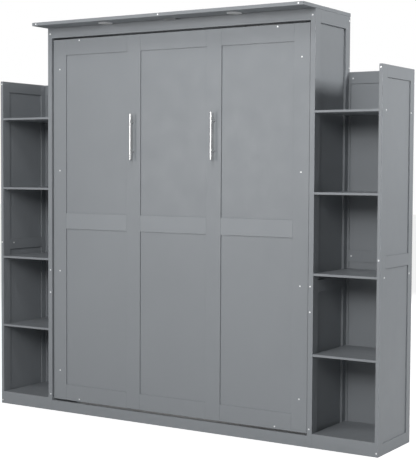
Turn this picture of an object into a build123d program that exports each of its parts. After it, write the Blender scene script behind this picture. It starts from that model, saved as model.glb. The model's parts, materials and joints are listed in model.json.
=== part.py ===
from build123d import *
import os
from math import atan2, cos, hypot, radians, sin

# Murphy wall bed, shut, with an open shelf tower at each side. Millimetres, +Z up, and the front faces -Y.
# The origin is at the middle of the bounding box's bottom face.

# Cabinet
height = 2230
cabinet_width = 1724
depth = 398
top_thickness = 18
top_front_overhang = 136
top_side_overhang = 2
side_thickness = 28
side_recess_depth = 12
front_stile = 60
rear_stile = 49
side_bottom_rail_top = 56
side_mid_rail = (790, 850)
side_top_rail_bottom = 2145
header_bottom = 2154
kick_top = 59
board = 18
edge_round = 1.2
joint_round = 0.6
rear_rails = {"bottom": (6, 106), "middle": (1050, 1150), "top": (2112, 2212)}
wall_hole_radius = 4
wall_hole_spacing = 1200

# Shelf towers
tower_width = 364
tower_height = 1922
tower_recess_depth = 6.5
tower_back_thickness = 12
tower_back_recess = 4
tower_back_stile = 12
tower_rail = 62
tower_mid_rail = (924, 985)
tower_kick_top = 72
shelf_thickness = 12
shelf_bottoms = (1693, 1284, 875, 466)
shelf_setback = 1
shelf_pin_radius = 2.5
shelf_pin_length = 16

# Bed: the front panel, and the frame behind it
panel_width = 1655
panel_bottom = 69.5
panel_top = 2144.5
panel_setback = 10
panel_board = 12
panel_frame = 6
outer_stile = 90.5
inner_stile = 92
recess_width = 430
frame_rail = 90
column_count = 3
bed_rail_outer = 791
bed_rail_rear = 200
bed_rail_bottom = 73
mattress_size = (1524, 200, 2032)
mattress_corner = 60
ledger = 25
slat_width = 70
slat_thickness = 16
slat_count = 13
strap_width = 50
strap_thickness = 2
strap_heights = (620, 1560)

# Handles
handle_x = 262
handle_z = 1584
handle_bar_radius = 6
handle_bar_length = 252
handle_post_radius = 5
handle_post_spacing = 160
handle_projection = 35

# Bed pivot and gas struts, measured back from the cabinet's front and up from the floor
pivot = (100, 300)
pivot_pin_radius = 6
running_clearance = 0.05
bush_radius = 9
spacer_radius = 11
hardware_plate = 4
strut_x = 812
strut_top = (160, 700)
strut_foot_offset = (40, -113)
fold_angle = 90
cylinder_radius = 10.5
cylinder_span = (18, 270)
strut_rod_radius = 5
strut_rod_inner_end = 190
socket_radius = 8
socket_length = 14
stud_radius = 4
stud_gap = 0.3

# Legs, lying along the foot board's outer face
leg_pivot_x = 690
leg_pivot_y = 60
leg_width = 40
leg_thickness = 6
leg_reach = 260
leg_washer = 1
leg_pin_radius = 5
foot_length = 14
foot_wall = 2
foot_clear = 0.5

# Lights and screws
puck_x = 415
puck_y = -43
puck_radius = 40
puck_drop = 3
puck_can_radius = 33
puck_can_depth = 9
lens_radius = 31
lens_thickness = 1.5
switch_box = (84, 28, 6)
screw_head_radius = 4.5
screw_head_height = 1.6
screw_shank_radius = 2
screw_length = 24
short_screw_length = 10
hardware_screw_length = 14
socket_depth = 1
socket_corner_radius = 2.2

# Worked out from the sizes above
front = (top_front_overhang + screw_head_height - depth) / 2
back = front + depth
cabinet_half = cabinet_width / 2
inner_half = cabinet_half - side_thickness
side_top = height - top_thickness
tower_half = cabinet_half + tower_width
panel_front = front + panel_setback
panel_face = panel_front + panel_frame
panel_back = panel_face + panel_board
pivot_y, pivot_z = front + pivot[0], pivot[1]
rail_inner = bed_rail_outer - board
ledger_back = panel_back + 22
slat_back = ledger_back + slat_thickness
mattress_front = slat_back + 0.5
foot_face = panel_top


def box(x, y, z):
    """Block from its (low, high) pair along each axis."""
    low, high = zip(x, y, z)
    size = [b - a for a, b in zip(low, high)]
    middle = [(a + b) / 2 for a, b in zip(low, high)]
    return Pos(*middle) * Box(*size)


def eased(solid, radius=edge_round):
    """The same board with its edges rounded a little."""
    return fillet(solid.edges(), radius)


def bar(start, end, radius):
    """Round bar between two points."""
    line = Vector(*end) - Vector(*start)
    return extrude(Plane(origin=start, z_dir=line) * Circle(radius), amount=line.length)


def mirrored(shape):
    """The left-hand copy of a right-hand piece."""
    return mirror(shape, about=Plane.YZ)


def save(name, *solids):
    """One node: a solid, or a group of separate solids."""
    shape = solids[0] if len(solids) == 1 else Compound(children=list(solids))
    export_step(shape, f"parts/{name}.step")


def save_pair(name, right, *more):
    """A right-hand node and its mirrored left-hand twin."""
    save(f"{name}_right", right, *more)
    save(f"{name}_left", *[mirrored(solid) for solid in (right, *more)])


def save_both(name, *right):
    """One node with right-hand solids and their mirrored left-hand twins."""
    save(name, *right, *[mirrored(solid) for solid in right])


def screw(head, into, length=screw_length):
    """Screw whose head sits on the surface at head, with its shank running along into."""
    seat = Plane(origin=head, z_dir=into)
    cap = extrude(seat * Circle(screw_head_radius), amount=-screw_head_height)
    rim = cap.faces().sort_by(Axis(head, into))[0].edges()
    cap = fillet(rim, screw_head_height * 0.7)
    top = seat.offset(-screw_head_height)
    cap -= extrude(top * RegularPolygon(socket_corner_radius, 6), amount=socket_depth)
    return cap + extrude(seat * Circle(screw_shank_radius), amount=length)


def drilled(solid, screws, length=screw_length):
    """The board with a hole for the shank of each screw given as (head, into)."""
    for head, into in screws:
        end = Vector(*head) + Vector(*into) * length
        solid -= bar(head, tuple(end), screw_shank_radius)
    return solid


def both_sides(places):
    """Screws given for the right side, and the same screws for the left."""
    return places + [((-x, y, z), (-i, j, k)) for (x, y, z), (i, j, k) in places]


# Where the screws sit, as (head, direction of the shank). Those named right_ are for the right side only.

def right_post_screws():
    x = cabinet_half - 17
    return [((x, front, z), (0, 1, 0)) for z in (94, 690, 820, 2179)]


def right_side_screws():
    return [((cabinet_half, back - 9, z), (-1, 0, 0)) for z in (2189, 1942)]


def top_edge_screws():
    y, z = front - top_front_overhang, height - top_thickness / 2
    return [((x, y, z), (0, 1, 0)) for x in (-836, 0, 836)]


def right_tower_edge_screws():
    x = tower_half - board / 2
    return [((x, front, z), (0, 1, 0)) for z in (19, 968, 1905)]


def right_tower_shelf_screws():
    heights = [shelf_bottoms[i] + shelf_thickness / 2 for i in (0, 2)]
    front_y, rear_y = front + 49, back - 38
    return [((tower_half, y, z), (-1, 0, 0)) for z in heights for y in (front_y, rear_y)]


def right_tower_back_screws():
    """Two short screws in the back's rails, from inside the tower."""
    return [((cabinet_half + 26, back - tower_back_thickness, z), (0, 1, 0)) for z in (1888, 954)]


def right_tower_inner_screws():
    """One short screw in the side's middle rail, from inside the tower."""
    return [((tower_half - board, front + 92, 961), (1, 0, 0))]


def panel_screws():
    sides = [((x, panel_front, z), (0, 1, 0)) for x in (-782, 782) for z in (239, 818, 1396, 1975)]
    ends = [((x, panel_front, z), (0, 1, 0)) for x in (-641, 641) for z in (82, 2134)]
    return sides + ends


# Cabinet

def framed(block, width, height_span, stiles, rails, thickness, panel):
    """Two stiles, the rails between them, and a thinner panel in each opening.

    block makes a piece from its spans across, through and up. width, height_span and thickness are the
    whole board's spans, stiles the two stile widths, rails the rails' spans, and panel the panels' thickness.
    """
    inside = (width[0] + stiles[0], width[1] - stiles[1])
    sides = [(width[0], inside[0]), (inside[1], width[1])]
    pieces = [block(across, thickness, height_span) for across in sides]
    pieces += [block(inside, thickness, rail) for rail in rails]
    openings = [(lower[1], upper[0]) for lower, upper in zip(rails, rails[1:])]
    pieces += [block(inside, panel, opening) for opening in openings]
    return [eased(piece, joint_round) for piece in pieces]


def side_block(across, through, up):
    """Block of a board that stands along Y."""
    return box(through, across, up)


def side_panel():
    """Right side: a thick framed board, recessed on its outer face."""
    rails = [(0, side_bottom_rail_top), side_mid_rail, (side_top_rail_bottom, side_top)]
    stiles = (front_stile, rear_stile)
    whole = (inner_half, cabinet_half)
    panel = (inner_half, cabinet_half - side_recess_depth)
    pieces = framed(side_block, (front, back), (0, side_top), stiles, rails, whole, panel)
    hardware = bracket_screws() + strut_bracket_screws()
    pieces = [drilled(piece, right_post_screws() + right_side_screws()) for piece in pieces]
    pieces = [drilled(piece, hardware, hardware_screw_length) for piece in pieces]
    return [with_pin_holes(piece, cabinet_half, -1) for piece in pieces]


def top_board():
    """Top board with a blind pocket under the overhang for each puck light."""
    half = cabinet_half + top_side_overhang
    top = eased(box((-half, half), (front - top_front_overhang, back), (side_top, height)))
    for x in (-puck_x, puck_x):
        floor = (x, front + puck_y, side_top)
        top -= bar(floor, (x, front + puck_y, side_top + puck_can_depth), puck_can_radius)
    return drilled(top, top_edge_screws())


def header_rail():
    return eased(box((-inner_half, inner_half), (front, front + board), (header_bottom, side_top)))


def kick_board():
    return eased(box((-inner_half, inner_half), (front, front + board), (0, kick_top)))


def rear_rail(name):
    """Rail across the back. The top one has two holes for fixing it to the wall."""
    rail = eased(box((-inner_half, inner_half), (back - board, back), rear_rails[name]))
    if name == "top":
        for x in (-wall_hole_spacing / 2, wall_hole_spacing / 2):
            z = sum(rear_rails[name]) / 2
            rail -= bar((x, back - board - 1, z), (x, back + 1, z), wall_hole_radius)
    return rail


# Lights under the overhang

def puck_light(x):
    """Shallow can in the board, with a wide rim under it and a seat for the lens."""
    rim_z = side_top - puck_drop
    middle_y = front + puck_y
    rim = bar((x, middle_y, rim_z), (x, middle_y, side_top), puck_radius)
    lower_edge = rim.edges().filter_by(GeomType.CIRCLE).sort_by(Axis.Z)[0]
    rim = fillet(lower_edge, puck_drop * 0.6)
    can = bar((x, middle_y, side_top), (x, middle_y, side_top + puck_can_depth), puck_can_radius)
    return rim + can - bar((x, middle_y, rim_z), (x, middle_y, rim_z + lens_thickness), lens_radius)


def puck_lens(x):
    rim_z = side_top - puck_drop
    middle_y = front + puck_y
    return bar((x, middle_y, rim_z), (x, middle_y, rim_z + lens_thickness), lens_radius)


def light_switch():
    length, width, drop = switch_box
    rear = front - 3
    body = box((-length / 2, length / 2), (rear - width, rear), (side_top - drop, side_top))
    return fillet(body.faces().sort_by(Axis.Z)[0].edges(), 2)


# Shelf tower, right-hand pieces

def tower_side():
    """Outer side of the tower: a framed board with its panels in the middle of its thickness."""
    inner = tower_half - board
    rear = back - tower_back_thickness
    rails = [(0, tower_rail - 4), tower_mid_rail, (tower_height - tower_rail, tower_height)]
    stiles = (front_stile, rear_stile - tower_back_thickness)
    panel = (inner + tower_recess_depth, tower_half - tower_recess_depth)
    pieces = framed(side_block, (front, rear), (0, tower_height), stiles, rails, (inner, tower_half), panel)
    pieces = [with_pin_holes(piece, inner, 1) for piece in pieces]
    places = right_tower_edge_screws() + right_tower_shelf_screws()
    pieces = [drilled(piece, places) for piece in pieces]
    return [drilled(piece, right_tower_inner_screws(), short_screw_length) for piece in pieces]


def tower_back():
    """Back of the tower: a thin framed board."""
    y = back - tower_back_thickness
    rails = [(0, tower_rail), tower_mid_rail, (tower_height - tower_rail, tower_height)]
    stiles = (tower_back_stile, board + tower_back_stile)
    panel = (y + tower_back_recess, back)
    pieces = framed(box, (cabinet_half, tower_half), (0, tower_height), stiles, rails, (y, back), panel)
    return [drilled(piece, right_tower_back_screws(), short_screw_length) for piece in pieces]


def tower_kick():
    x = (cabinet_half, tower_half - board)
    return eased(box(x, (front, front + board), (0, tower_kick_top)))


def tower_bottom_shelf():
    x = (cabinet_half, tower_half - board)
    y = (front + board, back - tower_back_thickness)
    return box(x, y, (tower_kick_top - shelf_thickness, tower_kick_top))


def tower_shelf(bottom):
    """Shelf between the cabinet side and the tower side, rounded along its front edges."""
    x = (cabinet_half, tower_half - board)
    y = (front + shelf_setback, back - tower_back_thickness)
    shelf = box(x, y, (bottom, bottom + shelf_thickness))
    front_edges = shelf.faces().sort_by(Axis.Y)[0].edges().filter_by(Axis.X)
    shelf = fillet(front_edges, edge_round)
    if bottom in (shelf_bottoms[0], shelf_bottoms[2]):
        shelf = drilled(shelf, right_tower_shelf_screws())
    return shelf


def shelf_pin_places():
    """Y and Z of the pins under the second and the fourth shelf."""
    heights = [shelf_bottoms[i] - shelf_pin_radius for i in (1, 3)]
    return [(y, z) for z in heights for y in (front + 30, back - 30)]


def with_pin_holes(panel, face, outward):
    """The panel with a blind hole for each pin, going in from its inner face."""
    for y, z in shelf_pin_places():
        end = face + outward * shelf_pin_length / 2
        panel -= bar((face, y, z), (end, y, z), shelf_pin_radius)
    return panel


def shelf_pins():
    """Pins half in the wood and half under the shelf, at both ends of it."""
    half = shelf_pin_length / 2
    faces = (cabinet_half, tower_half - board)
    places = [(x, y, z) for x in faces for y, z in shelf_pin_places()]
    return [bar((x - half, y, z), (x + half, y, z), shelf_pin_radius) for x, y, z in places]


# Bed, front panel

def front_board():
    half = panel_width / 2
    return eased(box((-half, half), (panel_face, panel_back), (panel_bottom, panel_top)), edge_round / 2)


def stile_spans():
    """Left and right edge of each stile, from left to right."""
    widths = [outer_stile] + [inner_stile] * (column_count - 1) + [outer_stile]
    spans = []
    left = -panel_width / 2
    for width in widths:
        spans.append((left, left + width))
        left += width + recess_width
    return spans


def front_stiles():
    screws = panel_screws()
    stiles = []
    for left, right in stile_spans():
        stile = eased(box((left, right), (panel_front, panel_face), (panel_bottom, panel_top)))
        here = [place for place in screws if left < place[0][0] < right]
        stiles.append(drilled(stile, here))
    return stiles


def rail_spans():
    """Lower and upper edge of the bottom, middle and top rail."""
    middle = (panel_bottom + panel_top) / 2
    half = frame_rail / 2
    return {"bottom": (panel_bottom, panel_bottom + frame_rail),
            "middle": (middle - half, middle + half),
            "top": (panel_top - frame_rail, panel_top)}


def front_rails(name):
    """One short rail between each pair of stiles."""
    spans = stile_spans()
    rails = []
    for left_stile, right_stile in zip(spans, spans[1:]):
        x = (left_stile[1], right_stile[0])
        rail = eased(box(x, (panel_front, panel_face), rail_spans()[name]))
        here = [place for place in panel_screws() if x[0] < place[0][0] < x[1]]
        rails.append(drilled(rail, here))
    return rails


# Bed, frame behind the panel

def bed_side_rail():
    """Right side rail with a hole for the pivot bush."""
    y = (panel_back, front + bed_rail_rear)
    rail = eased(box((rail_inner, bed_rail_outer), y, (bed_rail_bottom, foot_face)))
    rail -= bar((rail_inner - 1, pivot_y, pivot_z), (bed_rail_outer + 1, pivot_y, pivot_z), bush_radius)
    return drilled(rail, [place for place in panel_screws() if place[0][0] > rail_inner])


def end_board(bottom):
    """Board across the bed between the side rails."""
    y = (panel_back, front + bed_rail_rear)
    cross = eased(box((-rail_inner, rail_inner), y, (bottom, bottom + board)))
    return drilled(cross, [place for place in panel_screws() if abs(place[0][0]) < rail_inner])


def foot_board():
    """The foot board also has a hole for each leg's pin."""
    cross = end_board(foot_face - board)
    for x in (-leg_pivot_x, leg_pivot_x):
        y = front + leg_pivot_y
        cross -= bar((x, y, foot_face - board), (x, y, foot_face), leg_pin_radius)
    return cross


def inner_span():
    """Height of the space between the head board and the foot board."""
    return bed_rail_bottom + board, foot_face - board


def centre_beam():
    return eased(box((-20, 20), (panel_back, ledger_back), inner_span()))


def ledger_strip():
    """Strip along the right side rail that carries one end of the slats."""
    return eased(box((rail_inner - ledger, rail_inner), (panel_back, ledger_back), inner_span()))


def slats():
    low, high = inner_span()
    pitch = (high - low) / slat_count
    half_length, half_width = rail_inner - 2, slat_width / 2
    slat = eased(box((-half_length, half_length), (ledger_back, slat_back), (-half_width, half_width)))
    return [Pos(0, 0, low + pitch * (i + 0.5)) * slat for i in range(slat_count)]


def mattress():
    width, thickness, length = mattress_size
    middle = sum(inner_span()) / 2
    y = (mattress_front, mattress_front + thickness)
    body = box((-width / 2, width / 2), y, (middle - length / 2, middle + length / 2))
    body = fillet(body.edges().filter_by(Axis.Y), mattress_corner)
    return fillet(body.edges(), 20)


def strap(height_at):
    """Flat strap over the mattress, turned in at each edge and fixed to the side rails."""
    half = mattress_size[0] / 2 + 1
    rear = mattress_front + mattress_size[1] + 1
    z = (height_at - strap_width / 2, height_at + strap_width / 2)
    outer = box((-half - strap_thickness, half + strap_thickness), (rear - 110, rear + strap_thickness), z)
    return outer - box((-half, half), (rear - 111, rear), (z[0] - 1, z[1] + 1))


# Handles

def handle_bar():
    x, y = handle_x, panel_front - handle_projection + handle_bar_radius
    half = handle_bar_length / 2
    grip = bar((x, y, handle_z - half), (x, y, handle_z + half), handle_bar_radius)
    return chamfer(grip.edges().filter_by(GeomType.CIRCLE), 0.8)


def handle_posts(x):
    """Two posts from the stile to the bar, cut to the bar's round underside."""
    bar_y = panel_front - handle_projection + handle_bar_radius
    low, high = handle_z - handle_bar_length, handle_z + handle_bar_length
    grip = bar((x, bar_y, low), (x, bar_y, high), handle_bar_radius)
    heights = (handle_z - handle_post_spacing / 2, handle_z + handle_post_spacing / 2)
    return [bar((x, panel_front, z), (x, bar_y, z), handle_post_radius) - grip for z in heights]


# Pivot and gas strut hardware, right-hand pieces

def pivot_bracket():
    """Steel plate on the cabinet side that holds the pivot pin."""
    y, z = (pivot_y - 45, pivot_y + 55), (pivot_z - 80, pivot_z + 80)
    plate = box((inner_half - hardware_plate, inner_half), y, z)
    plate = fillet(plate.edges().filter_by(Axis.X), 12)
    plate -= bar((inner_half - 10, pivot_y, pivot_z), (inner_half + 1, pivot_y, pivot_z), pivot_pin_radius)
    return drilled(plate, bracket_screws())


def bracket_screws():
    x = inner_half - hardware_plate
    corners = [(y, z) for y in (pivot_y - 30, pivot_y + 40) for z in (pivot_z - 62, pivot_z + 62)]
    return [((x, y, z), (1, 0, 0)) for y, z in corners]


def pivot_pin():
    return bar((rail_inner + 3, pivot_y, pivot_z), (inner_half, pivot_y, pivot_z), pivot_pin_radius)


def pivot_spacer():
    """Tube on the pin that keeps the bed centred between the cabinet sides."""
    ends = (bed_rail_outer + hardware_plate + 2, inner_half - hardware_plate)
    tube = bar((ends[0], pivot_y, pivot_z), (ends[1], pivot_y, pivot_z), spacer_radius)
    return tube - bar((ends[0], pivot_y, pivot_z), (ends[1], pivot_y, pivot_z), pivot_pin_radius)


def pivot_bush():
    """Flanged bush in the side rail and its plate, which turns on the pin."""
    outer = bed_rail_outer + hardware_plate
    sleeve = bar((rail_inner + 1, pivot_y, pivot_z), (outer, pivot_y, pivot_z), bush_radius)
    flange = bar((outer, pivot_y, pivot_z), (outer + 1.5, pivot_y, pivot_z), bush_radius + 4)
    bore = pivot_pin_radius + running_clearance
    return sleeve + flange - bar((rail_inner, pivot_y, pivot_z), (outer + 2, pivot_y, pivot_z), bore)


def bed_pivot_plate():
    """Steel plate on the side rail with the bush hole and the strut's lower stud."""
    foot_y, foot_z = pivot_y + strut_foot_offset[0], pivot_z + strut_foot_offset[1]
    y, z = (panel_back + 6, front + bed_rail_rear - 8), (foot_z - 34, pivot_z + 60)
    plate = box((bed_rail_outer, bed_rail_outer + hardware_plate), y, z)
    plate = fillet(plate.edges().filter_by(Axis.X), 14)
    plate -= bar((bed_rail_outer - 1, pivot_y, pivot_z), (bed_rail_outer + 10, pivot_y, pivot_z), bush_radius)
    stud = (bed_rail_outer + hardware_plate, strut_x - socket_length / 2 - stud_gap)
    return plate + bar((stud[0], foot_y, foot_z), (stud[1], foot_y, foot_z), stud_radius)


def strut_line():
    """Top end, bottom end, shut length and unit direction of the gas strut, in Y and Z."""
    top = (front + strut_top[0], strut_top[1])
    foot = (pivot_y + strut_foot_offset[0], pivot_z + strut_foot_offset[1])
    run = (foot[0] - top[0], foot[1] - top[1])
    length = hypot(*run)
    return top, foot, length, (run[0] / length, run[1] / length)


def along_strut(distance):
    """Point on the strut's axis at a distance from its top end."""
    top, _, _, way = strut_line()
    return strut_x, top[0] + way[0] * distance, top[1] + way[1] * distance


def strut_socket(distance, bored):
    """Short barrel across the strut at one end. Its hole takes the stud."""
    x, y, z = along_strut(distance)
    ends = (x - socket_length / 2, x + socket_length / 2)
    barrel = bar((ends[0], y, z), (ends[1], y, z), socket_radius)
    barrel = chamfer(barrel.edges().filter_by(GeomType.CIRCLE), 1)
    if bored:
        barrel -= bar((ends[0], y, z), (ends[1], y, z), stud_radius + running_clearance)
    return barrel


def strut_cylinder():
    """Cylinder with its top socket, a neck, and a bore that is open at the lower end."""
    start, end = cylinder_span
    neck = bar(along_strut(socket_radius - 1), along_strut(start + 2), strut_rod_radius)
    tube = bar(along_strut(start), along_strut(end), cylinder_radius)
    tube = chamfer(tube.edges().filter_by(GeomType.CIRCLE), 1.5)
    bore = bar(along_strut(start + 14), along_strut(end), strut_rod_radius + running_clearance)
    return strut_socket(0, True) + (neck - strut_socket_core()) + tube - bore


def strut_socket_core():
    """The stud's hole at the top end, as a solid to cut with."""
    x, y, z = along_strut(0)
    reach = socket_length
    return bar((x - reach, y, z), (x + reach, y, z), stud_radius + running_clearance)


def strut_rod():
    """Rod that slides in the cylinder, with the socket at its lower end."""
    length = strut_line()[2]
    shaft = bar(along_strut(strut_rod_inner_end), along_strut(length - socket_radius + 1), strut_rod_radius)
    return shaft + strut_socket(length, False)


def strut_bracket():
    """Small plate on the cabinet side with the strut's upper stud."""
    x, y, z = along_strut(0)
    plate = box((inner_half - hardware_plate, inner_half), (y - 20, y + 20), (z - 35, z + 35))
    plate = fillet(plate.edges().filter_by(Axis.X), 8)
    plate = drilled(plate, strut_bracket_screws())
    return plate + bar((x - socket_length / 2 + 1, y, z), (inner_half - hardware_plate, y, z), stud_radius)


def strut_bracket_screws():
    _, y, z = along_strut(0)
    return [((inner_half - hardware_plate, y, z + rise), (1, 0, 0)) for rise in (-24, 24)]


# Legs, right-hand pieces, lying along the foot board from the pin towards the middle

def leg():
    """Flat steel bar, rounded around its pin, that reaches from the pin to the floor."""
    y = front + leg_pivot_y
    z = (foot_face + leg_washer, foot_face + leg_washer + leg_thickness)
    end = leg_pivot_x - leg_reach + foot_wall
    blade = box((end, leg_pivot_x), (y - leg_width / 2, y + leg_width / 2), z)
    blade += bar((leg_pivot_x, y, z[0]), (leg_pivot_x, y, z[1]), leg_width / 2)
    hole = leg_pin_radius + running_clearance
    return blade - bar((leg_pivot_x, y, z[0]), (leg_pivot_x, y, z[1]), hole)


def leg_foot():
    """Rubber cap on the leg's end. It stops short of the foot board's face."""
    y = front + leg_pivot_y
    z = (foot_face + leg_washer, foot_face + leg_washer + leg_thickness)
    end = leg_pivot_x - leg_reach
    half = leg_width / 2
    cap = box((end, end + foot_length), (y - half - foot_wall, y + half + foot_wall),
              (z[0] - foot_clear, z[1] + foot_clear))
    cap = fillet(cap.edges().filter_by(Axis.Z), 1)
    return cap - box((end + foot_wall, end + foot_length + 1), (y - half, y + half), z)


def leg_pin():
    """Headed pin through the leg and the foot board, with a washer between the two."""
    x, y = leg_pivot_x, front + leg_pivot_y
    top = foot_face + leg_washer + leg_thickness
    shank = bar((x, y, foot_face - board), (x, y, top + 0.3), leg_pin_radius)
    washer = bar((x, y, foot_face), (x, y, foot_face + leg_washer - 0.3), leg_pin_radius * 2)
    head = bar((x, y, top + 0.3), (x, y, top + 1.5), leg_pin_radius * 2)
    return shank + washer + head


def save_cabinet():
    save("top_board", top_board())
    save_pair("side_panel", *side_panel())
    save("header_rail", header_rail())
    save("kick_board", kick_board())
    for name in rear_rails:
        save(f"rear_rail_{name}", rear_rail(name))
    save("puck_lights", puck_light(-puck_x), puck_light(puck_x))
    save("puck_lenses", puck_lens(-puck_x), puck_lens(puck_x))
    save("light_switch", light_switch())
    save("cabinet_screws", *cabinet_screws())


def cabinet_screws():
    """Every bright-headed screw of the cabinet and of both towers."""
    right = right_post_screws() + right_side_screws()
    right += right_tower_edge_screws() + right_tower_shelf_screws()
    long = [screw(*place) for place in both_sides(right) + top_edge_screws()]
    inside = right_tower_back_screws() + right_tower_inner_screws()
    short = [screw(*place, length=short_screw_length) for place in both_sides(inside)]
    return long + short


def save_towers():
    save_pair("tower_side", *tower_side())
    save_pair("tower_back", *tower_back())
    save_pair("tower_bottom_shelf", tower_bottom_shelf())
    for number, bottom in enumerate(shelf_bottoms, start=1):
        save_pair(f"tower_shelf_{number}", tower_shelf(bottom))
    save_both("tower_kick_boards", tower_kick())
    save_both("tower_shelf_pins", *shelf_pins())


def save_bed():
    save("front_board", drilled(front_board(), panel_screws()))
    save("front_stiles", *front_stiles())
    save("front_rails", *[rail for name in rail_spans() for rail in front_rails(name)])
    save_pair("bed_side_rail", bed_side_rail())
    save("head_board", end_board(bed_rail_bottom))
    save("foot_board", foot_board())
    save("centre_beam", centre_beam())
    save_both("slat_ledgers", ledger_strip())
    save("slats", *slats())
    save("mattress", mattress())
    save("mattress_straps", *[strap(z) for z in strap_heights])
    save("panel_screws", *[screw(*place) for place in panel_screws()])
    save_pair("handle_bar", handle_bar())
    save_both("handle_posts", *handle_posts(handle_x))


def save_mechanism():
    save_both("pivot_brackets", pivot_bracket())
    save_both("pivot_pins", pivot_pin())
    save_both("pivot_spacers", pivot_spacer())
    save_both("pivot_bushes", pivot_bush())
    save_both("bed_pivot_plates", bed_pivot_plate())
    save_pair("strut_cylinder", strut_cylinder())
    save_pair("strut_rod", strut_rod())
    save_both("strut_brackets", strut_bracket())
    save_both("hardware_screws", *hardware_screws())
    save_pair("leg", leg())
    save_pair("leg_foot", leg_foot())
    save_both("leg_pins", leg_pin())


def hardware_screws():
    """Screws of the right-hand pivot bracket and strut bracket."""
    places = bracket_screws() + strut_bracket_screws()
    return [screw(*place, length=hardware_screw_length) for place in places]


def report_strut():
    """Print the strut's lengths and turns, which the joints' couplings use."""
    top, _, shut_length, way = strut_line()
    turn = radians(fold_angle)
    dy, dz = strut_foot_offset
    open_y = pivot_y + dy * cos(turn) - dz * sin(turn)
    open_z = pivot_z + dy * sin(turn) + dz * cos(turn)
    open_run = (open_y - top[0], open_z - top[1])
    swing = atan2(open_run[1], open_run[0]) - atan2(way[1], way[0])
    print("front", front, "pivot", pivot_y, pivot_z, "strut top", top, "way", way)
    print("strut shut", shut_length, "open", hypot(*open_run), "swing", swing)


os.makedirs("parts", exist_ok=True)
save_cabinet()
save_towers()
save_bed()
save_mechanism()
report_strut()
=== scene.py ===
import json
from math import copysign, cos, pi, sin

import bpy
from mathutils import Matrix, Vector


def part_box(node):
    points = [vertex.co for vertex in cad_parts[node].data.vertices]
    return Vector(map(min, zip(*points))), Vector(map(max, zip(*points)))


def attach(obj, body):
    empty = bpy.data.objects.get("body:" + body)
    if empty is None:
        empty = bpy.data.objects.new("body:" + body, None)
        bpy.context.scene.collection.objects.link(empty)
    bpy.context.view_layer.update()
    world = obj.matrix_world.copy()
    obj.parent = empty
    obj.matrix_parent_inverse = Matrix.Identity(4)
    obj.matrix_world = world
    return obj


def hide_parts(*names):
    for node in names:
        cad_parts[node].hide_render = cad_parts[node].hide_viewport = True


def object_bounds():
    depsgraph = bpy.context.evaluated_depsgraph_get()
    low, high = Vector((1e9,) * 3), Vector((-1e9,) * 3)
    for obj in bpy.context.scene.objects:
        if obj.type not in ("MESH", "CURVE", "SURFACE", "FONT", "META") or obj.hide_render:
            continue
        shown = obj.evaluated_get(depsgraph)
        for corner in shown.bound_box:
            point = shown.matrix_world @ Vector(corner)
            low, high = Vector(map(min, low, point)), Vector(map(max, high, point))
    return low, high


# Murphy wall bed, shut, between two open shelf towers. Metres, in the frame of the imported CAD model.

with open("model.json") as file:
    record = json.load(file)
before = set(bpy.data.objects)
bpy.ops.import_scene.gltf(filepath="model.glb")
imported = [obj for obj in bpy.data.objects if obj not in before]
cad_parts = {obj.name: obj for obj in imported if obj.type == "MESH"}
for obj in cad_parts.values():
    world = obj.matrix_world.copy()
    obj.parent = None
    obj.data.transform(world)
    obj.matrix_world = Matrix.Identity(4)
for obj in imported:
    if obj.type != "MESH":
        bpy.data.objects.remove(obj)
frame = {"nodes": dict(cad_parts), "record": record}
cad_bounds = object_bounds()

# Camera
CAMERA_PLACE = (3.5446, -5.3678, 1.4047)
CAMERA_TURN = 0.5629
CAMERA_DOWN = 0.0504
CAMERA_ROLL = 0.0052
CAMERA_LENS = 91.74
CAMERA_SENSOR = 36
CAMERA_SHIFT = (-0.0017, -0.0013)
CAMERA_CLIP_END = 200

# Studio: the backdrop's strength on matt surfaces, to the camera and in reflections, then the floor
WORLD_STRENGTH = 0.02
BACKDROP_STRENGTH = 1.0
GLOSS_STRENGTH = 0.5
FLOOR_REACH = 30
FLOOR_COLOUR = (0.5, 0.5, 0.5)
FLOOR_ROUGHNESS = 0.7
FLOOR_DROP = 0.0005
FLOOR_GLOW = 0.8
FOOTPRINT_INSET = -0.015

# Lamps: the place, aim and size of each, and its power in watts
MIDDLE = (0, 0, 1.1)
LIGHTS = {
    "front": {"place": (1.0, -6.0, 3.0), "aim": MIDDLE, "size": (1.2, 1.2), "power": 113},
    "front_right": {"place": (3.0, -6.0, 3.0), "aim": MIDDLE, "size": (1.2, 1.2), "power": 16},
    "front_high": {"place": (2.4, -5.0, 3.8), "aim": MIDDLE, "size": (1.2, 1.2), "power": 54},
    "overhead": {"place": (0.5, -2.5, 4.5), "aim": MIDDLE, "size": (1.0, 1.0), "power": 30},
    "left_low": {"place": (-3.0, -6.0, 1.9), "aim": MIDDLE, "size": (1.5, 1.5), "power": 88},
    "side": {"place": (4.6, 0.9, 2.8), "aim": (1, 0, 1.3), "size": (0.8, 0.8), "power": 120},
    "left_side": {"place": (-5.5, 0.9, 2.5), "aim": (-1, 0, 1.3), "size": (1.5, 1.5), "power": 75},
    "back_left": {"place": (-1.4, 6.5, 3.0), "aim": (0, 0.3, 1.1), "size": (2.4, 2.4), "power": 150},
    "back_right": {"place": (0.4, 6.5, 2.0), "aim": (0, 0.3, 1.1), "size": (1.2, 1.2), "power": 60},
}

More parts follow.
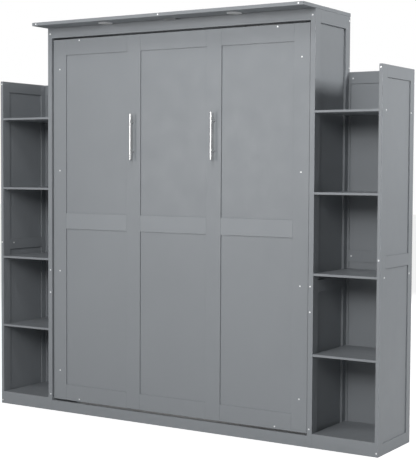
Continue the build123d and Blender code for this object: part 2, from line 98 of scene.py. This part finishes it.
# Mattress, in cells of its cover: across, round the edge band, and up
MATTRESS_CELLS = (96, 12, 128)
QUILT_PITCH = 8
QUILT_DEPTH = 0.005
PANEL_SINK = 0.009
EDGE_DROP = 0.012
EDGE_CELLS = 3
CORNER_RADIUS = 0.06
SEAM_INSET = 0.007
BAND_SWELL = 0.001
BAND_DEPTH = 0.003
BAND_CHANNEL = 4
SWELL_PRESSURE = 4
SWELL_FRAMES = 20
SWELL_CAP = 0.009
COVER_CLOTH = {
    "quality": 5,
    "mass": 0.3,
    "tension_stiffness": 12,
    "compression_stiffness": 12,
    "shear_stiffness": 5,
    "bending_stiffness": 0.4,
}
SEAM_CREASE = 0.5
TAPE_SIDES = 10
TAPE_OUT = 0.004
TAPE_ALONG = 0.006

# Straps
STRAP_WIDTH = 0.05
STRAP_THICKNESS = 0.002
STRAP_FLAT = 0.97
STRAP_CORNER = 0.016
STRAP_CORNER_STEPS = 8
STRAP_STEPS = 60
STRAP_SAG = 0.0015

# Paint: its colour, the height and reach of the panel's middle rails, and how much lighter the paint is
# painted there, a painted highlight for the light the rails catch
PAINT = (0.262, 0.279, 0.297)
PANEL_MIDDLE = 1.107
MIDDLE_REACH = 0.1
MIDDLE_PAINTED_LIGHT = 0.08


# Node helpers

class Nodes:
    """A material's node tree, with short ways to add and join nodes."""

    def __init__(self, name):
        self.material = bpy.data.materials.new(name)
        self.material.use_nodes = True
        self.tree = self.material.node_tree
        self.shader = self.tree.nodes["Principled BSDF"]
        self.coords = self.tree.nodes.new("ShaderNodeTexCoord").outputs["Object"]

    def join(self, value, socket):
        """Set a plain value on a socket, or link an output to it."""
        if isinstance(value, bpy.types.NodeSocket):
            self.tree.links.new(value, socket)
        else:
            socket.default_value = value

    def scaled(self, scale, turn=(0, 0, 0)):
        node = self.tree.nodes.new("ShaderNodeMapping")
        node.inputs["Scale"].default_value = scale
        node.inputs["Rotation"].default_value = turn
        self.join(self.coords, node.inputs["Vector"])
        return node.outputs["Vector"]

    def noise(self, scale, detail=2.0, rough=0.5, vector=None, distortion=0.0):
        node = self.tree.nodes.new("ShaderNodeTexNoise")
        node.inputs["Scale"].default_value = scale
        node.inputs["Detail"].default_value = detail
        node.inputs["Roughness"].default_value = rough
        node.inputs["Distortion"].default_value = distortion
        self.join(self.coords if vector is None else vector, node.inputs["Vector"])
        return node.outputs["Fac"]

    def wave(self, scale, direction, distortion=0.0):
        node = self.tree.nodes.new("ShaderNodeTexWave")
        node.wave_type = "BANDS"
        node.bands_direction = direction
        node.wave_profile = "SIN"
        node.inputs["Scale"].default_value = scale
        node.inputs["Distortion"].default_value = distortion
        node.inputs["Detail"].default_value = 1.0
        self.join(self.coords, node.inputs["Vector"])
        return node.outputs["Fac"]

    def cells(self, scale):
        node = self.tree.nodes.new("ShaderNodeTexVoronoi")
        node.inputs["Scale"].default_value = scale
        self.join(self.coords, node.inputs["Vector"])
        return node.outputs["Distance"]

    def maths(self, operation, a, b=0.0):
        node = self.tree.nodes.new("ShaderNodeMath")
        node.operation = operation
        self.join(a, node.inputs[0])
        self.join(b, node.inputs[1])
        return node.outputs[0]

    def spread(self, value, low, high, start=0.0, end=1.0):
        """value from start..end carried over to low..high."""
        node = self.tree.nodes.new("ShaderNodeMapRange")
        for name, number in (("From Min", start), ("From Max", end), ("To Min", low), ("To Max", high)):
            node.inputs[name].default_value = number
        self.join(value, node.inputs["Value"])
        return node.outputs["Result"]

    def axes(self):
        """The object coordinates' X, Y and Z."""
        node = self.tree.nodes.new("ShaderNodeSeparateXYZ")
        self.join(self.coords, node.inputs["Vector"])
        return node.outputs

    def join_colour(self, colour, socket):
        """Set an RGB triple on a colour socket, or link an output to it."""
        self.join(colour if isinstance(colour, bpy.types.NodeSocket) else (*colour, 1), socket)

    def mix(self, factor, a, b):
        node = self.tree.nodes.new("ShaderNodeMix")
        node.data_type = "RGBA"
        self.join(factor, node.inputs["Factor"])
        for colour, name in ((a, "A"), (b, "B")):
            socket = [s for s in node.inputs if s.name == name and s.type == "RGBA"][0]
            self.join_colour(colour, socket)
        return [s for s in node.outputs if s.type == "RGBA"][0]

    def bump(self, height, strength, distance):
        node = self.tree.nodes.new("ShaderNodeBump")
        node.inputs["Strength"].default_value = strength
        node.inputs["Distance"].default_value = distance
        self.join(height, node.inputs["Height"])
        self.join(node.outputs["Normal"], self.shader.inputs["Normal"])

    def finish(self, colour, roughness, metallic=0.0, **more):
        self.join_colour(colour, self.shader.inputs["Base Color"])
        self.join(roughness, self.shader.inputs["Roughness"])
        self.join(metallic, self.shader.inputs["Metallic"])
        for name, value in more.items():
            self.shader.inputs[name.replace("_", " ").title()].default_value = value
        return self.material


def shade(colour, factor):
    return tuple(channel * factor for channel in colour)


# Materials

def paint_tone(n, base):
    """The paint's slight drift in tone, with fine specks."""
    drift = n.spread(n.noise(1.7, detail=3), 0, 1, 0.3, 0.7)
    speck = n.spread(n.noise(420, detail=1), 0, 0.12, 0.4, 0.8)
    tone = n.mix(drift, shade(base, 0.975), shade(base, 1.025))
    return n.mix(speck, tone, shade(base, 0.8))


def grey_paint(name, painted_light=0.0):
    """Sprayed satin paint on board, with a faint roller texture.

    Its second argument paints light: the paint is made a little lighter at the height of the panel's
    middle rails, a painted highlight for the light the rails catch.
    """
    n = Nodes(name)
    tone = paint_tone(n, PAINT)
    # Painted highlight: the same paint made lighter in a band at the middle rails' height, standing in
    # for light falling on the rails.
    if painted_light:
        off_middle = n.maths("ABSOLUTE", n.maths("SUBTRACT", n.axes()["Z"], PANEL_MIDDLE))
        painted_light_band = n.maths("LESS_THAN", off_middle, MIDDLE_REACH)
        tone = n.mix(painted_light_band, tone, paint_tone(n, shade(PAINT, 1 + painted_light)))
    peel = n.maths("ADD", n.noise(260, detail=2), n.maths("MULTIPLY", n.noise(38, detail=2), 0.8))
    n.bump(peel, 0.12, 0.0006)
    rough = n.spread(n.noise(9, detail=3), 0.40, 0.50, 0.3, 0.7)
    return n.finish(tone, rough)


def pine(name, grain_axis):
    """Planed pine with grain along one axis: growth bands, fine pores and a few darker streaks."""
    n = Nodes(name)
    along = [26.0, 26.0, 26.0]
    along[grain_axis] = 1.1
    stretched = n.scaled(along)
    fine_scale = [420.0, 420.0, 420.0]
    fine_scale[grain_axis] = 9.0
    fine = n.noise(1.0, detail=4, vector=n.scaled(fine_scale))
    growth = n.noise(1.0, detail=5, rough=0.6, vector=stretched, distortion=0.7)
    rings = n.maths("FRACT", n.maths("MULTIPLY", growth, 7.0))
    late = n.spread(rings, 0, 1, 0.55, 1.0)
    light = (0.66, 0.46, 0.26)
    dark = (0.42, 0.24, 0.11)
    tone = n.mix(n.maths("MULTIPLY", late, 0.55), light, dark)
    tone = n.mix(n.spread(fine, 0, 0.3, 0.45, 0.75), tone, shade(dark, 0.8))
    n.bump(n.maths("ADD", fine, n.maths("MULTIPLY", late, 0.4)), 0.18, 0.0006)
    return n.finish(tone, n.spread(fine, 0.5, 0.68, 0.3, 0.7))


def screw_steel():
    """Bright zinc screw with a slightly uneven polish."""
    n = Nodes("bright_screw")
    polish = n.noise(600, detail=2)
    n.bump(polish, 0.1, 0.0002)
    tone = n.mix(polish, (0.86, 0.87, 0.88), (0.97, 0.97, 0.98))
    return n.finish(tone, n.spread(polish, 0.34, 0.46, 0.3, 0.7), metallic=0.55)


def zinc_steel():
    """Zinc-plated steel: patchy crystal tone and a slight warm drift."""
    n = Nodes("zinc_steel")
    spangle = n.cells(180)
    drift = n.noise(24, detail=4)
    tone = n.mix(n.spread(spangle, 0, 1, 0.1, 0.8), (0.56, 0.57, 0.58), (0.68, 0.69, 0.70))
    tone = n.mix(n.spread(drift, 0, 0.5, 0.4, 0.8), tone, (0.60, 0.56, 0.47))
    n.bump(n.maths("ADD", spangle, n.noise(400, detail=2)), 0.06, 0.0004)
    return n.finish(tone, n.spread(drift, 0.3, 0.46, 0.3, 0.7), metallic=1.0)


def brushed_steel():
    """Handles in satin stainless steel, brushed along their length."""
    n = Nodes("handle_steel")
    brush = n.noise(1.0, detail=4, vector=n.scaled((2600, 2600, 60)))
    tone = n.mix(brush, (0.70, 0.70, 0.69), (0.86, 0.86, 0.85))
    n.bump(brush, 0.16, 0.0002)
    return n.finish(tone, n.spread(brush, 0.24, 0.40, 0.3, 0.7), metallic=1.0)


def nylon():
    n = Nodes("nylon")
    tone = n.mix(n.noise(60, detail=3), (0.70, 0.69, 0.64), (0.80, 0.79, 0.75))
    n.bump(n.noise(700, detail=1), 0.08, 0.0003)
    return n.finish(tone, n.spread(n.noise(90), 0.34, 0.46, 0.3, 0.7))


def black_enamel():
    """Stoved black enamel with orange peel and a little dust."""
    n = Nodes("black_enamel")
    dust = n.noise(8, detail=5)
    tone = n.mix(n.spread(dust, 0, 1, 0.45, 0.75), (0.012, 0.012, 0.013), (0.032, 0.032, 0.034))
    n.bump(n.noise(330, detail=2), 0.14, 0.0005)
    return n.finish(tone, n.spread(dust, 0.22, 0.4, 0.35, 0.7))


def rod_chrome():
    """Hard-chromed strut rod: near mirror, with faint rings round it."""
    n = Nodes("rod_chrome")
    rings = n.noise(1.0, detail=3, vector=n.scaled((40, 40, 2400)))
    n.bump(rings, 0.05, 0.0001)
    tone = n.mix(rings, (0.84, 0.85, 0.86), (0.93, 0.93, 0.94))
    return n.finish(tone, n.spread(rings, 0.05, 0.12, 0.3, 0.7), metallic=1.0)


def rubber():
    n = Nodes("foot_rubber")
    fleck = n.noise(900, detail=2)
    tone = n.mix(fleck, (0.018, 0.018, 0.018), (0.045, 0.045, 0.044))
    n.bump(fleck, 0.3, 0.0004)
    return n.finish(tone, n.spread(n.noise(70, detail=3), 0.68, 0.86, 0.3, 0.7))


def moulded(name, colour, roughness):
    """Moulded plastic with a fine spark-eroded texture."""
    n = Nodes(name)
    spark = n.noise(1500, detail=2)
    tone = n.mix(n.noise(30, detail=3), shade(colour, 0.95), shade(colour, 1.04))
    n.bump(spark, 0.12, 0.0002)
    return n.finish(tone, n.spread(spark, roughness - 0.05, roughness + 0.07, 0.3, 0.7))


def lens():
    """Frosted lens with a ring of small diodes just showing through it."""
    n = Nodes("light_lens")
    chips = n.cells(160)
    tone = n.mix(n.spread(chips, 0, 1, 0.08, 0.35), (0.86, 0.80, 0.58), (0.74, 0.75, 0.75))
    n.bump(n.noise(1200, detail=1), 0.1, 0.0002)
    return n.finish(tone, n.spread(n.noise(200), 0.3, 0.42, 0.3, 0.7))


def ticking():
    """Mattress cover: a fine white knit with a lattice in a slightly duller yarn."""
    n = Nodes("mattress_cloth")
    knit = n.maths("MULTIPLY", n.wave(140, "X"), n.wave(140, "Z"))
    yarn = n.noise(900, detail=2)
    lattice = n.maths("MULTIPLY", n.wave(9, "X", distortion=0.4), n.wave(9, "Z", distortion=0.4))
    tone = n.mix(n.spread(lattice, 0, 1, 0.25, 0.7), (0.84, 0.83, 0.80), (0.88, 0.87, 0.85))
    tone = n.mix(n.spread(yarn, 0, 0.35, 0.4, 0.8), tone, (0.62, 0.62, 0.60))
    n.bump(n.maths("ADD", knit, n.maths("MULTIPLY", yarn, 0.7)), 0.4, 0.0009)
    return n.finish(tone, n.spread(yarn, 0.82, 0.95, 0.3, 0.7), sheen_weight=0.25)


def border_cloth():
    """Mattress side band: grey knit with close vertical ribs."""
    n = Nodes("mattress_border_cloth")
    ribs = n.maths("ADD", n.wave(95, "X"), n.wave(95, "Z"))
    yarn = n.noise(1000, detail=2)
    tone = n.mix(n.spread(ribs, 0, 1, 0.3, 1.6), (0.30, 0.31, 0.33), (0.46, 0.47, 0.49))
    tone = n.mix(n.spread(yarn, 0, 0.4, 0.4, 0.8), tone, (0.22, 0.225, 0.235))
    n.bump(n.maths("ADD", ribs, n.maths("MULTIPLY", yarn, 0.6)), 0.45, 0.0009)
    return n.finish(tone, n.spread(yarn, 0.82, 0.95, 0.3, 0.7), sheen_weight=0.2)


def tape_cloth():
    """Binding tape over the mattress seams: a tight twill."""
    n = Nodes("mattress_tape_cloth")
    twill = n.wave(150, "DIAGONAL")
    tone = n.mix(twill, (0.24, 0.245, 0.255), (0.38, 0.385, 0.40))
    n.bump(n.maths("ADD", twill, n.noise(900)), 0.5, 0.0006)
    return n.finish(tone, n.spread(n.noise(700), 0.78, 0.92, 0.3, 0.7), sheen_weight=0.2)


def webbing():
    """Woven nylon webbing: warp ribs along the strap and a fine weft across them."""
    n = Nodes("strap_webbing")
    warp = n.wave(110, "Z")
    weft = n.maths("MULTIPLY", n.wave(160, "X"), n.wave(160, "Y"))
    weave = n.maths("ADD", warp, n.maths("MULTIPLY", weft, 0.6))
    tone = n.mix(n.spread(weave, 0, 1, 0.2, 1.4), (0.015, 0.015, 0.016), (0.055, 0.056, 0.06))
    n.bump(weave, 0.6, 0.0007)
    return n.finish(tone, n.spread(n.noise(600, detail=2), 0.55, 0.75, 0.3, 0.7), sheen_weight=0.3)


def build_materials():
    return {
        "grey_paint": grey_paint("grey_paint"),
        # The rails' copy of the paint carries a painted highlight at the middle rails' height.
        "grey_paint_rails_painted_light": grey_paint("grey_paint_rails_painted_light", MIDDLE_PAINTED_LIGHT),
        "pine_x": pine("pine_x", 0),
        "pine_z": pine("pine_z", 2),
        "bright_screw": screw_steel(),
        "zinc_steel": zinc_steel(),
        "handle_steel": brushed_steel(),
        "nylon": nylon(),
        "black_enamel": black_enamel(),
        "rod_chrome": rod_chrome(),
        "foot_rubber": rubber(),
        "light_body": moulded("light_body", (0.90, 0.91, 0.92), 0.36),
        "light_lens": lens(),
        "switch_plastic": moulded("switch_plastic", (0.30, 0.31, 0.325), 0.42),
        "mattress_cloth": ticking(),
        "border_cloth": border_cloth(),
        "tape_cloth": tape_cloth(),
        "strap_webbing": webbing(),
    }


MATERIALS = build_materials()
OWN_FINISH = {
    "slats": "pine_x",
    "centre_beam": "pine_z",
    "slat_ledgers": "pine_z",
    # The front rails get the paint with the painted highlight band.
    "front_rails": "grey_paint_rails_painted_light",
}


def node_slots():
    """Each CAD node's material slot, from the record."""
    return {part["node"]: part["material_slot"] for part in frame["record"]["subparts"]}


def paint_nodes():
    slots = node_slots()
    for name, obj in frame["nodes"].items():
        wanted = OWN_FINISH.get(name, slots[name])
        for place in obj.material_slots:
            place.material = MATERIALS[wanted]


# Mattress

def mesh_object(name, points, faces, material):
    mesh = bpy.data.meshes.new(name)
    mesh.from_pydata(points, [], faces)
    mesh.update()
    mesh.materials.append(material)
    mesh.polygons.foreach_set("use_smooth", [True] * len(mesh.polygons))
    obj = bpy.data.objects.new(name, mesh)
    bpy.context.scene.collection.objects.link(obj)
    return obj


def in_rounded_corner(x, z, half_x, half_z, radius):
    """A point of the plain grid, with the square corners drawn in to quarter circles."""
    over_x = (abs(x) - (half_x - radius)) / radius
    over_z = (abs(z) - (half_z - radius)) / radius
    if over_x <= 0 or over_z <= 0:
        return x, z
    new_x = half_x - radius + radius * over_x * (1 - over_z * over_z / 2) ** 0.5
    new_z = half_z - radius + radius * over_z * (1 - over_x * over_x / 2) ** 0.5
    return copysign(new_x, x), copysign(new_z, z)


class MattressCover:
    """The cover before it swells: two panels of grid cells, and a band round the edge.

    sewn holds the numbers of the points on a line of stitching, and rim those of each panel's outline.
    """

    def __init__(self):
        low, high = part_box("mattress")
        self.middle = (low + high) / 2
        self.half = (high - low) / 2
        self.points = []
        self.faces = []
        self.sewn = set()
        front = self.add_panel(-1)
        rear = self.add_panel(1)
        self.add_band(front, rear)

    def outline(self, i, j, inset):
        across, _, up = MATTRESS_CELLS
        half_x, half_z = self.half.x - inset, self.half.z - inset
        x, z = (2 * i / across - 1) * half_x, (2 * j / up - 1) * half_z
        return in_rounded_corner(x, z, half_x, half_z, CORNER_RADIUS)

    def add_panel(self, side):
        """One quilted panel. side is -1 for the slats' side and 1 for the sleeping side."""
        across, _, up = MATTRESS_CELLS
        number = {}
        for i in range(across + 1):
            for j in range(up + 1):
                x, z = self.outline(i, j, SEAM_INSET)
                edge = min(i, across - i, j, up - j) / EDGE_CELLS
                drop = EDGE_DROP * max(0.0, 1 - edge) ** 2
                on_seam = (i + j) % QUILT_PITCH == 0 or (i - j) % QUILT_PITCH == 0
                on_edge = edge == 0
                if on_seam or on_edge:
                    self.sewn.add(len(self.points))
                stitch = QUILT_DEPTH if on_seam and not on_edge else 0
                depth = self.half.y - PANEL_SINK - drop - stitch
                number[i, j] = len(self.points)
                self.points.append((self.middle.x + x, self.middle.y + side * depth, self.middle.z + z))
        for i in range(across):
            for j in range(up):
                corners = [number[i, j], number[i + 1, j], number[i + 1, j + 1], number[i, j + 1]]
                if side > 0:
                    corners.reverse()
                self.add_cell(corners, i, j, side)
        return number

    def add_cell(self, corners, i, j, side):
        """A quad, or two triangles that meet along a line of stitching."""
        rising = (i - j) % QUILT_PITCH == 0
        falling = (i + 1 + j) % QUILT_PITCH == 0
        if not (rising or falling):
            self.faces.append(corners)
            return
        start = 0 if rising == (side < 0) else 1
        a, b, c, d = corners[start:] + corners[:start]
        self.faces += [[a, b, c], [a, c, d]]

    def add_band(self, front, rear):
        """The band round the edge, sewn in level channels."""
        across, band, up = MATTRESS_CELLS
        places = [(i, 0) for i in range(across)] + [(across, j) for j in range(up)]
        places += [(i, up) for i in range(across, 0, -1)] + [(0, j) for j in range(up, 0, -1)]
        self.rim = {-1: [front[p] for p in places], 1: [rear[p] for p in places]}
        reach = self.half.y - PANEL_SINK - EDGE_DROP
        rings = [self.rim[-1]]
        for row in range(1, band):
            ring = []
            on_channel = row % BAND_CHANNEL == 0
            inset = SEAM_INSET - BAND_SWELL + (BAND_DEPTH if on_channel else 0)
            for i, j in places:
                x, z = self.outline(i, j, inset)
                if on_channel:
                    self.sewn.add(len(self.points))
                ring.append(len(self.points))
                y = self.middle.y + reach * (2 * row / band - 1)
                self.points.append((self.middle.x + x, y, self.middle.z + z))
            rings.append(ring)
        rings.append(self.rim[1])
        self.band_start = len(self.faces)
        for lower, upper in zip(rings, rings[1:]):
            for a, b in zip(range(len(lower)), [*range(1, len(lower)), 0]):
                self.faces.append([lower[a], upper[a], upper[b], lower[b]])


def swell(obj, seams):
    """Cloth simulation: the cover swells under a light pressure between its seams."""
    group = obj.vertex_groups.new(name="seams")
    group.add(sorted(seams), 1.0, "REPLACE")
    before = [vertex.co.copy() for vertex in obj.data.vertices]
    cloth = obj.modifiers.new("Cloth", "CLOTH")
    for setting, value in COVER_CLOTH.items():
        setattr(cloth.settings, setting, value)
    cloth.settings.use_pressure = True
    cloth.settings.uniform_pressure_force = SWELL_PRESSURE
    cloth.settings.vertex_group_mass = "seams"
    cloth.settings.effector_weights.gravity = 0
    cloth.collision_settings.use_collision = False
    cloth.point_cache.frame_start = 1
    cloth.point_cache.frame_end = SWELL_FRAMES
    for number in range(1, SWELL_FRAMES + 1):
        bpy.context.scene.frame_set(number)
    shape = obj.evaluated_get(bpy.context.evaluated_depsgraph_get()).data
    after = [vertex.co.copy() for vertex in shape.vertices]
    obj.modifiers.remove(cloth)
    obj.vertex_groups.clear()
    for vertex, start, end in zip(obj.data.vertices, before, after):
        step = end - start
        vertex.co = start + step * min(1.0, SWELL_CAP / max(step.length, 1e-9))
    bpy.context.scene.frame_set(1)


def smoothed(obj):
    """One subdivision, applied."""
    subdivision = obj.modifiers.new("Subdivision", "SUBSURF")
    subdivision.levels = subdivision.render_levels = 1
    graph = bpy.context.evaluated_depsgraph_get()
    mesh = bpy.data.meshes.new_from_object(obj.evaluated_get(graph))
    obj.modifiers.remove(subdivision)
    mesh.name = obj.name
    obj.data = mesh
    return obj


def crease_seams(obj, seams):
    """Keep the lines of stitching fairly sharp when the cover is subdivided."""
    crease = obj.data.attributes.new("crease_edge", "FLOAT", "EDGE")
    values = [SEAM_CREASE if seams.issuperset(edge.vertices) else 0.0 for edge in obj.data.edges]
    crease.data.foreach_set("value", values)


def tube(name, loop, radius_out, radius_along, material):
    """Closed tube of an oval section round a closed loop of points that lie in a plane facing Y."""
    points, faces = [], []
    count, sides = len(loop), TAPE_SIDES
    for k in range(count):
        along = (loop[(k + 1) % count] - loop[k - 1]).normalized()
        out = Vector((0, 1, 0)).cross(along)
        for side in range(sides):
            angle = 2 * pi * side / sides
            rise = Vector((0, sin(angle) * radius_along, 0))
            points.append(loop[k] + out * cos(angle) * radius_out + rise)
    for k in range(count):
        for side in range(sides):
            a, b = k * sides + side, k * sides + (side + 1) % sides
            c, d = ((k + 1) % count) * sides + (side + 1) % sides, ((k + 1) % count) * sides + side
            faces.append([a, d, c, b])
    return mesh_object(name, points, faces, material)


def build_mattress():
    cover = MattressCover()
    obj = mesh_object("mattress_quilted", cover.points, cover.faces, MATERIALS["mattress_cloth"])
    obj.data.materials.append(MATERIALS["border_cloth"])
    numbers = [0] * cover.band_start + [1] * (len(cover.faces) - cover.band_start)
    obj.data.polygons.foreach_set("material_index", numbers)
    swell(obj, cover.sewn)
    crease_seams(obj, cover.sewn)
    rims = {side: [obj.data.vertices[k].co.copy() for k in cover.rim[side]] for side in cover.rim}
    smoothed(obj)
    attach(obj, "bed")
    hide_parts("mattress")
    for side, name in ((-1, "mattress_tape_under"), (1, "mattress_tape_top")):
        tape = tube(name, rims[side], TAPE_OUT, TAPE_ALONG, MATERIALS["tape_cloth"])
        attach(tape, "bed")


# Straps

def quarter_turn(middle, start):
    """Points round a corner of the strap, turning clockwise from the angle start."""
    angles = [start - step / STRAP_CORNER_STEPS * pi / 2 for step in range(STRAP_CORNER_STEPS + 1)]
    return [(middle[0] + STRAP_CORNER * cos(a), middle[1] + STRAP_CORNER * sin(a)) for a in angles]


def strap_path(half_width, start_y, rear):
    """Points of the strap's middle line in X and Y, from one side of the mattress over to the other."""
    turn_x, turn_y = half_width - STRAP_CORNER, rear - STRAP_CORNER
    across = []
    for k in range(1, STRAP_STEPS):
        share = k / STRAP_STEPS
        across.append((2 * turn_x * share - turn_x, rear - STRAP_SAG * sin(pi * share) ** 2))
    path = [(-half_width, start_y)]
    path += quarter_turn((-turn_x, turn_y), pi)
    path += across
    path += quarter_turn((turn_x, turn_y), pi / 2)
    path.append((half_width, start_y))
    return [Vector(place) for place in path]


def band_piece(name, path, z_middle, width, thickness, material):
    """A flat band with softly rounded selvedges, following a path in X and Y."""
    half = width / 2
    flat = half * STRAP_FLAT
    under = [(-half, 0), (-flat, -0.5), (flat, -0.5), (half, 0)]
    over = [(flat, 0.5), (half / 2, 0.5), (0, 0.5), (-half / 2, 0.5), (-flat, 0.5)]
    section = under + over
    points, faces = [], []
    for k, place in enumerate(path):
        before, after = path[max(k - 1, 0)], path[min(k + 1, len(path) - 1)]
        along = (after - before).normalized()
        out = Vector((-along.y, along.x))
        for rise, off in section:
            spot = place + out * off * thickness
            points.append((spot.x, spot.y, z_middle + rise))
    sides = len(section)
    for k in range(len(path) - 1):
        for side in range(sides):
            a, b = k * sides + side, k * sides + (side + 1) % sides
            faces.append([a, b, b + sides, a + sides])
    faces.append(list(range(sides))[::-1])
    faces.append([(len(path) - 1) * sides + side for side in range(sides)])
    return mesh_object(name, points, faces, material)


def build_straps():
    low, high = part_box("mattress_straps")
    half_thickness = STRAP_THICKNESS / 2
    path = strap_path(high.x - half_thickness, low.y, high.y - half_thickness)
    heights = (low.z + STRAP_WIDTH / 2, high.z - STRAP_WIDTH / 2)
    for name, z in zip(("mattress_strap_lower", "mattress_strap_upper"), heights):
        strap = band_piece(name, path, z, STRAP_WIDTH, STRAP_THICKNESS, MATERIALS["strap_webbing"])
        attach(strap, "bed")
        if z == heights[0]:
            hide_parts("mattress_straps")


# Studio, camera

def outside(n):
    """1 on the floor clear of the cabinet and towers, and 0 under them."""
    side, back = cad_bounds[1][0], cad_bounds[1][1]
    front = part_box("kick_board")[0].y
    axes = n.axes()
    beside = n.maths("SUBTRACT", n.maths("ABSOLUTE", axes["X"]), side)
    ahead = n.maths("SUBTRACT", front, axes["Y"])
    behind = n.maths("SUBTRACT", axes["Y"], back)
    clear = n.maths("MAXIMUM", beside, n.maths("MAXIMUM", ahead, behind))
    return n.maths("GREATER_THAN", clear, FOOTPRINT_INSET)


def build_floor():
    mesh = bpy.data.meshes.new("floor")
    corners = [(x * FLOOR_REACH, y * FLOOR_REACH, 0) for x, y in ((-1, -1), (1, -1), (1, 1), (-1, 1))]
    mesh.from_pydata(corners, [], [(0, 1, 2, 3)])
    floor = bpy.data.objects.new("floor", mesh)
    bpy.context.scene.collection.objects.link(floor)
    n = Nodes("pale_floor")
    seen = n.tree.nodes.new("ShaderNodeLightPath").outputs["Is Camera Ray"]
    n.finish(FLOOR_COLOUR, FLOOR_ROUGHNESS, emission_color=(1, 1, 1, 1))
    glow = n.maths("MULTIPLY", seen, n.spread(outside(n), 0, FLOOR_GLOW))
    n.join(glow, n.shader.inputs["Emission Strength"])
    mesh.materials.append(n.material)
    floor.location.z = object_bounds()[0][2] - FLOOR_DROP


def build_lights():
    for name, facts in LIGHTS.items():
        lamp = bpy.data.lights.new(name, "AREA")
        lamp.shape = "RECTANGLE"
        lamp.size, lamp.size_y = facts["size"]
        lamp.energy = facts["power"]
        obj = bpy.data.objects.new(name, lamp)
        obj.location = facts["place"]
        aim = Vector(facts["aim"]) - Vector(facts["place"])
        obj.rotation_euler = aim.to_track_quat("-Z", "Y").to_euler()
        bpy.context.scene.collection.objects.link(obj)


def build_world():
    """A white backdrop for the camera, dimmer in reflections and almost dark on matt surfaces."""
    world = bpy.data.worlds.new("studio")
    world.use_nodes = True
    background = world.node_tree.nodes["Background"]
    background.inputs["Color"].default_value = (1, 1, 1, 1)
    tree = world.node_tree
    rays = tree.nodes.new("ShaderNodeLightPath")
    strength = background.inputs["Strength"]
    shares = (
        ("Is Camera Ray", BACKDROP_STRENGTH),
        ("Is Glossy Ray", GLOSS_STRENGTH),
        ("Is Diffuse Ray", WORLD_STRENGTH),
    )
    total = None
    for ray, share in shares:
        part = tree.nodes.new("ShaderNodeMath")
        part.operation = "MULTIPLY_ADD"
        tree.links.new(rays.outputs[ray], part.inputs[0])
        part.inputs[1].default_value = share
        part.inputs[2].default_value = 0.0
        if total is not None:
            tree.links.new(total, part.inputs[2])
        total = part.outputs[0]
    tree.links.new(total, strength)
    bpy.context.scene.world = world
    bpy.context.scene.view_settings.view_transform = "Standard"


def build_camera():
    camera = bpy.data.cameras.new("camera")
    camera.lens = CAMERA_LENS
    camera.sensor_width = CAMERA_SENSOR
    camera.shift_x, camera.shift_y = CAMERA_SHIFT
    camera.clip_end = CAMERA_CLIP_END
    obj = bpy.data.objects.new("camera", camera)
    turn = Matrix.Rotation(CAMERA_TURN, 4, "Z")
    tilt = Matrix.Rotation(pi / 2 - CAMERA_DOWN, 4, "X")
    roll = Matrix.Rotation(CAMERA_ROLL, 4, "Z")
    obj.matrix_world = Matrix.Translation(CAMERA_PLACE) @ turn @ tilt @ roll
    bpy.context.scene.collection.objects.link(obj)
    bpy.context.scene.camera = obj


build_camera()
build_world()
build_lights()
build_floor()
paint_nodes()
build_mattress()
build_straps()
